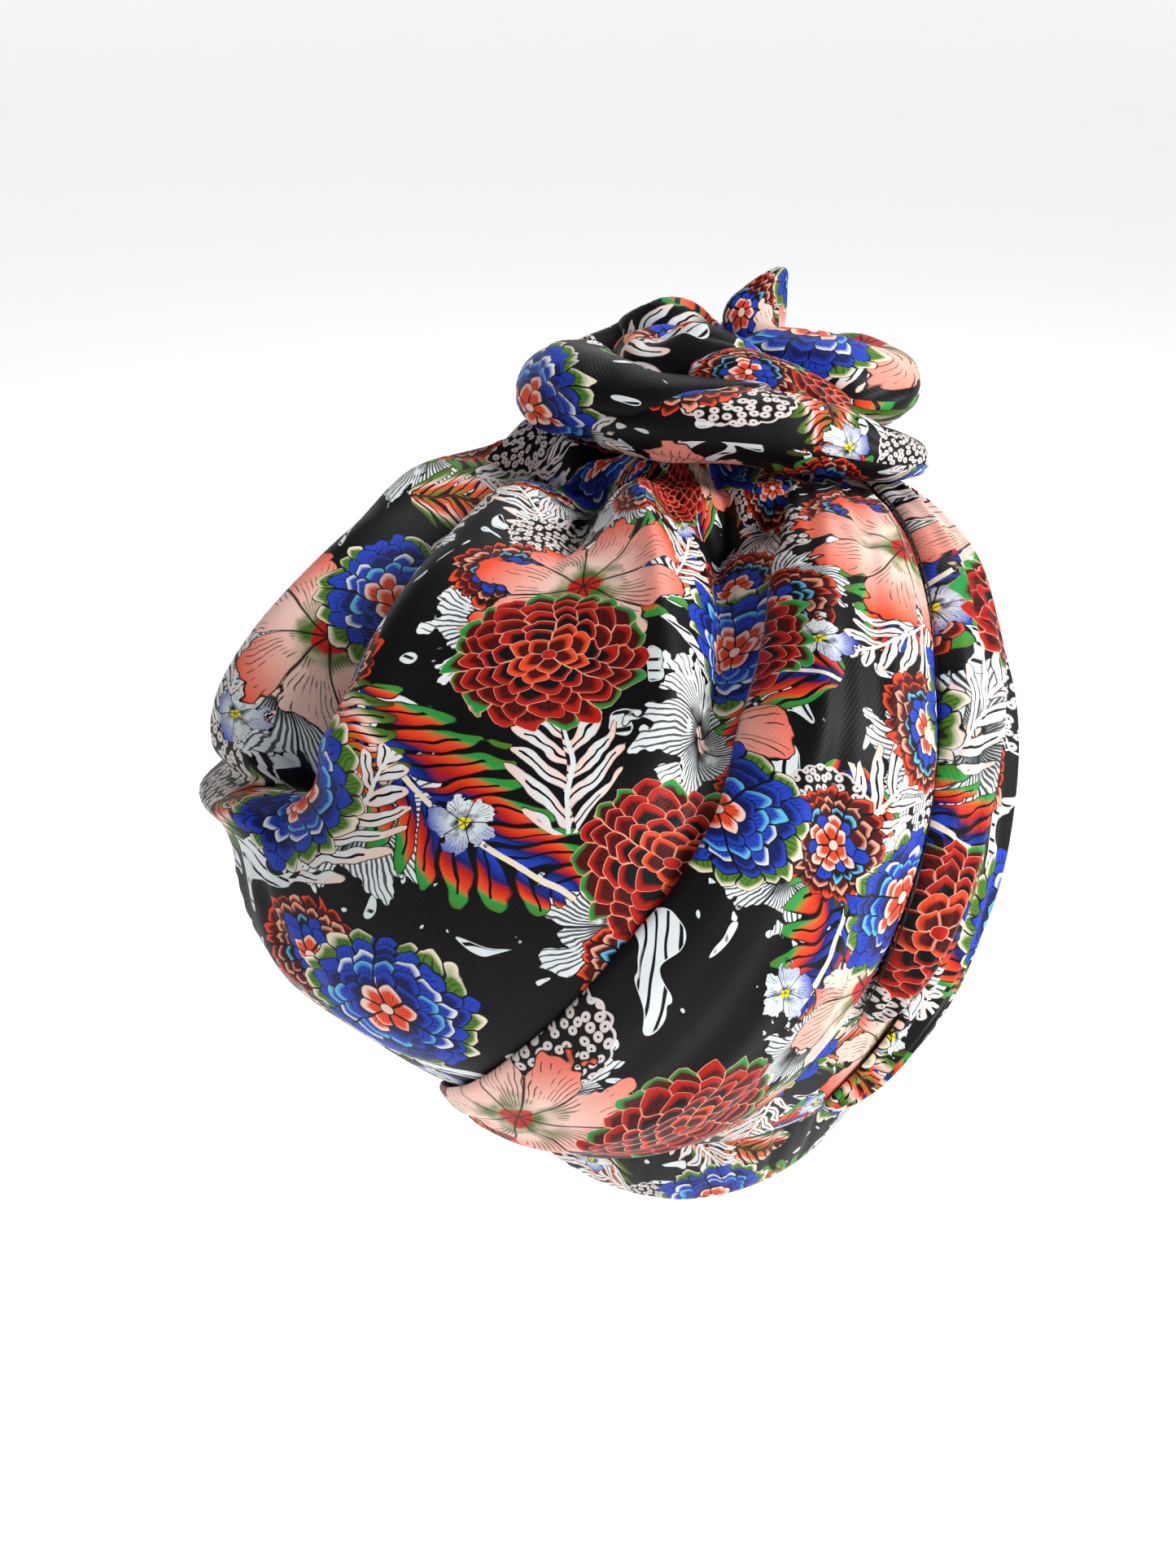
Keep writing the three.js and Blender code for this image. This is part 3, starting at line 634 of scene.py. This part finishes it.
# Pale scraps with inked line drawing over the dark ground
def scrapGround(weave, cloth):
    c = printColours
    shape = weave.noise(cloth, 1 / scraps["size"], 1.2, Distortion=1.4)
    wave = weave.node("ShaderNodeTexWave", dict(wave_type="BANDS", bands_direction="X"), {
        "Vector": cloth, "Scale": scraps["lines"], "Distortion": 6.0, "Detail": 1.0, "Detail Scale": 0.6}, 1)
    edge = 1 - scraps["cover"] + scraps["edge"]
    inked = weave.above(wave, 0.86, 0.10) * weave.above(shape, edge + 0.02, 0.02)
    return weave.mix(weave.above(shape, edge, 0.006), c["ground"], weave.mix(inked, c["pale"], c["ink"]))


satin = dict(roughness=0.46, worn=0.14, wornScale=24, gloss=0.17, twill=520, slub=700, relief=0.12,
             reliefDepth=0.0003, sway=0.0045, swayScale=60)
satinInside = dict(roughness=0.75, cloud=45, twill=260, relief=0.4, sheen=0.2)


def makePrint():
    weave = Weave("printed satin")
    flat = weave.node("ShaderNodeUVMap", dict(uv_map="cloth"))
    sway = weave.noise(flat, satin["swayScale"], 1.0, out=1)
    cloth = weave.vector("MULTIPLY_ADD", weave.vector("SUBTRACT", sway, (.5, .5, .5)),
                         (satin["sway"], satin["sway"], 0), flat)
    colour = scrapGround(weave, cloth)
    for layer, spec in printLayers.items():
        x, y, chance, filled = strewn(weave, cloth, spec)
        mask, motif = motifOf(layer, weave, x, y, chance)
        colour = weave.mix(mask * filled, colour, motif)

    # satin twill: fine slanting ribs, a little uneven in sheen
    rib = weave.node("ShaderNodeTexWave",
                     dict(wave_type="BANDS", bands_direction="DIAGONAL", wave_profile="SIN"),
                     {"Vector": flat, "Scale": satin["twill"], "Distortion": 0.8, "Detail": 1.0}, 1)
    slub = weave.noise(flat, satin["slub"], 2.0)
    height = rib + slub * 0.8
    normal = weave.node("ShaderNodeBump", None, {
        "Strength": satin["relief"], "Distance": satin["reliefDepth"], "Height": height})
    worn = weave.noise(flat, satin["wornScale"], 3.0)
    shader = weave.node("ShaderNodeBsdfPrincipled", None, {
        "Base Color": colour, "Roughness": satin["roughness"] + worn * satin["worn"],
        "Normal": normal, "Specular IOR Level": satin["gloss"]})
    weave.node("ShaderNodeOutputMaterial", None, {0: shader}, ())
    return weave.material


def makeBack():
    weave = Weave("satin back")
    flat = weave.node("ShaderNodeUVMap", dict(uv_map="cloth"))
    cloud = weave.noise(flat, satinInside["cloud"], 3.0)
    tone = weave.ramp(cloud, ((0.35, tint("#1a1a1d")), (0.55, tint("#2b2a2e")), (0.7, tint("#4b474c"))))
    rib = weave.node("ShaderNodeTexWave", dict(wave_type="BANDS", bands_direction="DIAGONAL"),
                     {"Vector": flat, "Scale": satinInside["twill"], "Distortion": 0.6}, 1)
    normal = weave.node("ShaderNodeBump", None, {
        "Strength": satinInside["relief"], "Distance": satin["reliefDepth"], "Height": rib})
    shader = weave.node("ShaderNodeBsdfPrincipled", None, {
        "Base Color": tone, "Roughness": satinInside["roughness"] + cloud * 0.1, "Normal": normal,
        "Sheen Weight": satinInside["sheen"]})
    weave.node("ShaderNodeOutputMaterial", None, {0: shader}, ())
    return weave.material


printedSatin = makePrint()
satinBack = makeBack()
print("materials made")


# The crown sheet runs round from the middle of the front, and up from the hem to the gather
def crownAngle(u):
    return -180 + 360 * u


# The hem turns in under itself over the first few rows
def crownSurface(u, v):
    hem = crown["hemShare"]
    level = np.where(v < hem, (hem - v) / hem * crown["hemDepth"], (v - hem) / (1 - hem))
    turned = ease(hem - v, 0, crown["hemBend"])
    return crownPoint(crownAngle(u), level, out=-crown["hemTuck"] * turned)


crownFlat = layFlat(72, 40, lambda u, v: crownPoint(crownAngle(u), v))


def crownSheet(u, v):
    return crownSurface(u, v), between(crownFlat, u, v)


crownPiece = clothPiece("crown_cloth", crown["around"], crown["levels"], crownSheet, crown["wall"],
                        closed=True)
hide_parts("crown")
print("crown made")


# Head band, deep at the nape and shallow at the brow
band = dict(
    wall=1.0, drop=40, lap=10, tuck=9, gap=1.7, around=240, down=26, girth=0.51, flatStart=(0.031, 0.62),
    drops=(1, .93, .72, .48, .32, .24, .22), tucks=(1, .95, .70, .25, .05, 0, 0),
    gathers=0.8, gatherWaves=(251, 431), gatherSway=37, gatherFade=(.2, .75), tuckCurve=1.4,
    hemRoll=0.64, hemCurve=8,
)


def bandSurface(u, v):
    angle = crownAngle(u)
    across, along = np.sin(np.radians(angle)), -np.cos(np.radians(angle))
    fromNape = 1 - np.abs(np.abs(angle) - 180) / 180
    drop = band["drop"] * column(band["drops"], fromNape)
    tuck = band["tuck"] * column(band["tucks"], fromNape) * (1 - v) ** band["tuckCurve"]
    coarse, fine = band["gatherWaves"]
    gathers = np.sin(u * coarse + 2 * np.sin(u * band["gatherSway"])) + 0.5 * np.sin(u * fine + 1)
    fade = (1 - ease(fromNape, *band["gatherFade"])) * np.sin(np.pi * np.clip(v * 1.15, 0, 1))
    gathers = gathers * band["gathers"] * fade
    pull = band["gap"] + tuck - gathers + band["hemRoll"] * (1 - v) ** band["hemCurve"]
    hem = crownBase(angle, np.zeros_like(angle))
    height = band["lap"] * v - drop * (1 - v)
    hem[:, 0] -= across * pull
    hem[:, 1] -= along * pull
    hem[:, 2] += height
    return hem, np.stack([u * band["girth"], height * mm], -1) + np.array(band["flatStart"])


bandPiece = clothPiece("head_band_cloth", band["around"], band["down"], bandSurface, band["wall"],
                       closed=True)
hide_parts("head_band")
print("head band made")


# Wrap and pleats: each table row is a place along the layer, from the knot down
wrap = dict(
    width=78, arch=9, across=96, along=200, ends=0.03, hem=7, bend=1.1, flatStart=(0.11, 0.23), turn=24,
    angle=(76, 62, 45, 35, 28, 21, 13, 2, -13, -30, -44),
    level=(.865, .835, .79, .73, .66, .59, .52, .44, .35, .26, .17),
    lean=(16, 19, 18, 17, 18, 19, 18, 15, 11, 5, 2),
    climb=(-.05, -.05, -.05, -.05, -.06, -.065, -.08, -.105, -.11, -.10, -.07),
    widths=(.34, .46, .55, .60, .70, .80, .90, 1, .90, .60, .30),
    arches=(.15, .55, .9, 1, 1, .9, .9, .8, .7, .6, .4),
    ridges=2.5, ridgeLift=0.9, seed=21,
)
innerPleat = dict(
    width=40, arch=9, across=60, along=150, ends=0.06, hem=5, bend=1.1, flatStart=(0.60, 0.27), turn=70,
    angle=(118, 106, 94, 80, 68, 58, 50, 42, 34), level=(.835, .785, .75, .71, .66, .59, .52, .44, .375),
    lean=(3, 4, 5, 8, 11, 9, 7, 5, 4), climb=(-.025, -.03, -.03, -.035, -.035, -.03, -.03, -.02, -.015),
    widths=(.22, .28, .36, .56, .76, .68, .60, .50, .36), arches=(.2, .4, .8, 1, 1, 1, 1, .9, .5),
    ridges=2.4, ridgeLift=1.3, seed=22,
)
outerPleat = dict(
    width=40, arch=9, across=72, along=170, ends=0.07, hem=5, bend=1.1, flatStart=(0.77, 0.08), turn=95,
    angle=(138, 126, 111, 100, 90, 80, 71, 60, 46, 28),
    level=(.80, .745, .68, .605, .54, .465, .385, .31, .245, .19), lean=(5, 6, 7, 8, 9, 10, 11, 11, 9, 6),
    climb=(-.02, -.025, -.03, -.045, -.06, -.075, -.085, -.09, -.09, -.07),
    widths=(.24, .34, .50, .75, .95, 1.06, 1.00, .84, .60, .30),
    arches=(.3, .5, .8, 1, 1.1, 1, .85, .6, .35, .1),
    ridges=3, ridgeLift=1.6, seed=23,
)
# rest is how high the edge of a layer stands over the crown
layers = dict(rest=2.8, wall=0.7, archCurve=0.7, wrinkles=0.25, wave=0.35, waveLength=34)


# Across the top, round the bend at each edge and a little way back under it
def turnedEdge(u, width, spec):
    hem, bend = spec["hem"], spec["bend"]
    inward = (1 - np.abs(2 * u - 1)) * (width / 2 + hem) - hem
    quarter = bend * np.pi / 2
    curl = bend * (1 - np.cos(inward / bend))
    place = np.where(np.abs(inward) < quarter, curl, np.abs(inward) - quarter + bend)
    height = bend * np.sin(np.clip(inward / bend, -np.pi / 2, np.pi / 2)) - bend
    share = np.clip(place / width, 0, 0.5)
    return np.where(u < 0.5, share, 1 - share), height


def foldedLayer(spec):
    def surface(u, v):
        angle, level = column(spec["angle"], v), column(spec["level"], v)
        lean, climb = column(spec["lean"], v), column(spec["climb"], v)
        # both ends are rounded off
        fromEnd = np.clip(np.minimum(v, 1 - v) / spec["ends"], 0, 1)
        ends = np.sqrt(np.clip(1 - (1 - fromEnd) ** 2, 0.02, 1))
        width = spec["width"] * column(spec["widths"], v) * ends
        edges = crownBase(angle + lean, level + climb) - crownBase(angle - lean, level - climb)
        share, height = turnedEdge(u, width, spec)
        side = width / np.linalg.norm(edges, axis=-1) * (2 * share - 1)
        middle = np.sin(np.pi * share)
        arch = spec["arch"] * column(spec["arches"], v) * middle ** layers["archCurve"] * ends
        ribs = 2 * np.pi * spec["ridges"] * share
        ribs = np.sin(ribs + 5 * v + spec["seed"]) + 0.5 * np.sin(2.3 * ribs - 4 * v)
        lift = layers["rest"] + arch + height + spec["ridgeLift"] * middle * ends * ribs
        points = crownPoint(angle + side * lean, level + side * climb, out=lift, wrinkles=layers["wrinkles"])
        soft = waves(points, layers["waveLength"], spec["seed"])
        points = points + (layers["wave"] * middle * soft)[:, None]
        turn = math.radians(spec["turn"])
        spin = np.array([[math.cos(turn), math.sin(turn)], [-math.sin(turn), math.cos(turn)]])
        flat = np.stack([(2 * share - 1) * width / 2 * mm, v * lengthOf(spec)], -1)
        return points, flat @ spin + np.array(spec["flatStart"])
    return surface


def lengthOf(spec):
    v = np.linspace(0, 1, 60)
    line = crownBase(column(spec["angle"], v), column(spec["level"], v))
    return np.linalg.norm(np.diff(line, axis=0), axis=1).sum() * mm


for name, node, spec, size in (
    ("wrap_cloth", "wrap_fold", wrap, (0.34, 0.075)),
    ("inner_pleat_cloth", "inner_pleat", innerPleat, (0.21, 0.042)),
    ("outer_pleat_cloth", "outer_pleat", outerPleat, (0.25, 0.055)),
):
    piece = clothPiece(name, spec["across"], spec["along"], foldedLayer(spec), layers["wall"],
                       outward=(0, 20, 30))
    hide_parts(node)
print("wrap and pleats made")


# Knot: each table row is a place along a roll, as shares of its half width and radius
knot = dict(
    side=8, forward=58, height=162, halfWidth=48, radius=13.5, around=72, along=110, tipShare=0.05,
    ledgeSink=0.6, ledgeSlope=0.05, creaseDepth=0.9, creaseWidth=0.05, wave=0.3, waveLength=16,
    girthShare=0.9,
)
crossRoll = dict(
    x=(-.74, -.40, .05, .50, .84, 1.10, 1.30), y=(-.26, -.48, -.58, -.57, -.52, -.44, -.34),
    z=(-.50, -.34, -.20, -.42, -.74, -1.00, -1.22),
    width=(.50, .84, .94, .92, .84, .72, .46), height=(.40, .74, .84, .80, .68, .56, .34),
    twist=0.9, step=2.4, seed=31, flatStart=(0.05, 0.44),
)
leftLobe = dict(
    x=(.30, -.06, -.42, -.72, -.89, -.88, -.78, -.58), y=(-.50, -.48, -.38, -.12, .16, .44, .64, .78),
    z=(.62, .44, .12, -.12, -.30, -.36, -.38, -.42),
    width=(.10, .42, .86, 1.26, 1.44, 1.26, .92, .40), height=(.08, .30, .68, .94, 1.02, .94, .75, .35),
    twist=0.8, step=3.2, seed=32, flatStart=(0.34, 0.51),
)
rightLobe = dict(
    x=(.14, .44, .70, .89, .96, .93, .82, .60), y=(.24, .16, .10, .12, .28, .50, .68, .80),
    z=(.32, .32, .16, -.08, -.28, -.36, -.38, -.45),
    width=(.50, .98, 1.28, 1.44, 1.38, 1.16, .82, .38), height=(.46, .82, .94, 1.00, 1.00, .92, .75, .35),
    twist=-0.8, step=2.4, seed=33, flatStart=(0.47, 0.12),
)
frontRoll = dict(
    x=(-.98, -.76, -.50, -.22, .06, .42, .77, 1.00), y=(.42, .66, .76, .72, .76, .79, .70, .44),
    z=(-.35, -.25, -.12, .34, -.10, -.26, -.35, -.45),
    width=(.30, .62, .80, .82, .80, .80, .62, .30), height=(.30, .62, .78, 1.00, .80, .80, .62, .30),
    twist=0.9, step=2.0, seed=34, flatStart=(0.66, 0.55),
)
innerRoll = dict(
    x=(-.16, .10, .36, .62, .84), y=(-.26, -.27, -.28, -.29, -.28), z=(.52, .62, .44, .10, -.22),
    width=(.26, .50, .52, .46, .26), height=(.26, .50, .50, .44, .24),
    twist=0.5, step=1.0, seed=35, flatStart=(0.21, 0.07),
)
core = dict(
    x=(.02, .02, .04, .08, .10, .12), y=(.16, .17, .18, .16, .18, .20), z=(-1.25, -.60, -.05, .45, .80, .98),
    width=(2.00, 2.50, 2.40, 1.80, 1.20, .50), height=(1.60, 1.85, 1.75, 1.25, .85, .35),
    twist=0.3, step=1.6, seed=36, flatStart=(0.58, 0.27),
)
tail = dict(
    x=(.28, .31, .36, .42, .49), y=(.44, .47, .50, .52, .55), z=(.46, 1.00, 1.38, 1.76, 2.10),
    width=(.60, .76, .62, .38, .10), height=(.28, .34, .26, .17, .08),
    twist=0.1, step=0.5, seed=37, flatStart=(0.83, 0.41),
)


def rollMiddle(rows, v):
    return np.stack([knot["side"] + knot["halfWidth"] * column(rows["x"], v),
                     knot["forward"] + knot["halfWidth"] * column(rows["y"], v),
                     knot["height"] + knot["radius"] * column(rows["z"], v)], -1)


# Radius of wound cloth: a ledge that runs round the roll, and a soft crease beside it
def woundRadius(rows, u, v):
    wind = (u + rows["twist"] * v + 0.1 * rows["seed"]) % 1.0
    ledge = rows["step"] * (wind * ease(1 - wind, 0, knot["ledgeSlope"]) - knot["ledgeSink"])
    second = (2 * u + 1.3 * rows["twist"] * v + 0.37 * rows["seed"]) % 1.0
    crease = -knot["creaseDepth"] * np.exp(-((second - 0.5) / knot["creaseWidth"]) ** 2)
    return knot["radius"] + ledge + crease


def unit(vectors):
    return vectors / np.linalg.norm(vectors, axis=-1, keepdims=True)


def woundRoll(rows, up):
    def surface(u, v):
        # the ends close over the last few rows
        v = 0.5 - 0.5 * np.cos(np.pi * v)
        fromEnd = np.clip(np.minimum(v, 1 - v) / knot["tipShare"], 0, 1)
        taper = np.sqrt(np.clip(1 - (1 - fromEnd) ** 2, 0, 1))
        middle = rollMiddle(rows, v)
        tangent = rollMiddle(rows, np.minimum(1, v + 0.01)) - rollMiddle(rows, np.maximum(0, v - 0.01))
        sideways = unit(np.cross(tangent, np.array(up, float)))
        upward = unit(np.cross(sideways, tangent))
        turn = 2 * np.pi * u
        grow = woundRadius(rows, u, v) * taper
        points = (middle + sideways * (np.cos(turn) * grow * column(rows["width"], v))[:, None]
                  + upward * (np.sin(turn) * grow * column(rows["height"], v))[:, None])
        soft = knot["wave"] * taper * waves(points, knot["waveLength"], rows["seed"])
        points = points + soft[:, None] * (points - middle) / knot["radius"]
        line = rollMiddle(rows, np.linspace(0, 1, 40))
        length = np.linalg.norm(np.diff(line, axis=0), axis=1).sum() * mm
        girth = 2 * np.pi * knot["radius"] * knot["girthShare"] * mm
        return points, np.stack([u * girth, v * length], -1) + np.array(rows["flatStart"])
    return surface


upright, ahead = (0, 0, 1), (0, 1, 0)
for name, node, rows, up in (
    ("knot_cross_cloth", "knot_cross_roll", crossRoll, upright),
    ("knot_left_cloth", "knot_left_lobe", leftLobe, upright),
    ("knot_right_cloth", "knot_right_lobe", rightLobe, upright),
    ("knot_front_cloth", "knot_front_roll", frontRoll, upright),
    ("knot_inner_cloth", "knot_inner_roll", innerRoll, upright),
    ("knot_core_cloth", "knot_core", core, ahead),
    ("knot_tail_cloth", "knot_tail", tail, ahead),
):
    piece = clothPiece(name, knot["around"], knot["along"], woundRoll(rows, up), 0, closed=True)
    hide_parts(node)
print("knot made")


# Studio, lengths in metres and lamps in watts
studio = dict(
    floorDepth=0.34, floorSize=14.0, wallHeight=6.0, floorTone=0.93, glow=0.64, world=0.05,
    aim=(-0.02, 0, 0.05),
    # each lamp: name, place, size and power
    lamps=(("key", (1.0, -0.35, 0.85), 0.45, 19), ("fill", (-0.85, -0.9, 0.6), 0.9, 0.2),
           ("back", (0.25, 0.8, 1.15), 0.5, 8)),
)


def addFloor():
    work = bmesh.new()
    bmesh.ops.create_grid(work, x_segments=1, y_segments=1, size=studio["floorSize"])
    bmesh.ops.translate(work, verts=work.verts, vec=(0, 0, -studio["floorDepth"]))
    # a low pale wall stands along the floor's far edges
    risen = bmesh.ops.extrude_edge_only(work, edges=work.edges)["geom"]
    bmesh.ops.translate(work, verts=[part for part in risen if isinstance(part, bmesh.types.BMVert)],
                        vec=(0, 0, studio["wallHeight"]))
    mesh = bpy.data.meshes.new("floor")
    work.to_mesh(mesh)
    work.free()
    floor = bpy.data.objects.new("floor", mesh)
    bpy.context.scene.collection.objects.link(floor)
    weave = Weave("studio floor")
    shader = weave.node("ShaderNodeBsdfPrincipled", None, {
        "Base Color": (studio["floorTone"],) * 3 + (1,), "Roughness": 0.9,
        "Emission Color": (1, 1, 1, 1), "Emission Strength": studio["glow"]})
    weave.node("ShaderNodeOutputMaterial", None, {0: shader}, ())
    mesh.materials.append(weave.material)


def addLamp(name, place, size, power):
    data = bpy.data.lights.new(name, "AREA")
    data.size = size
    data.energy = power
    lamp = bpy.data.objects.new(name, data)
    bpy.context.scene.collection.objects.link(lamp)
    aim = Vector(studio["aim"]) - Vector(place)
    lamp.matrix_world = Matrix.Translation(place) @ aim.to_track_quat("-Z", "Y").to_matrix().to_4x4()


addFloor()
for lamp in studio["lamps"]:
    addLamp(*lamp)
world = bpy.data.worlds.new("studio")
world.use_nodes = True
world.node_tree.nodes["Background"].inputs[0].default_value = (1, 1, 1, 1)
world.node_tree.nodes["Background"].inputs[1].default_value = studio["world"]
bpy.context.scene.world = world
bpy.context.scene.view_settings.view_transform = "Standard"
print("studio lit")
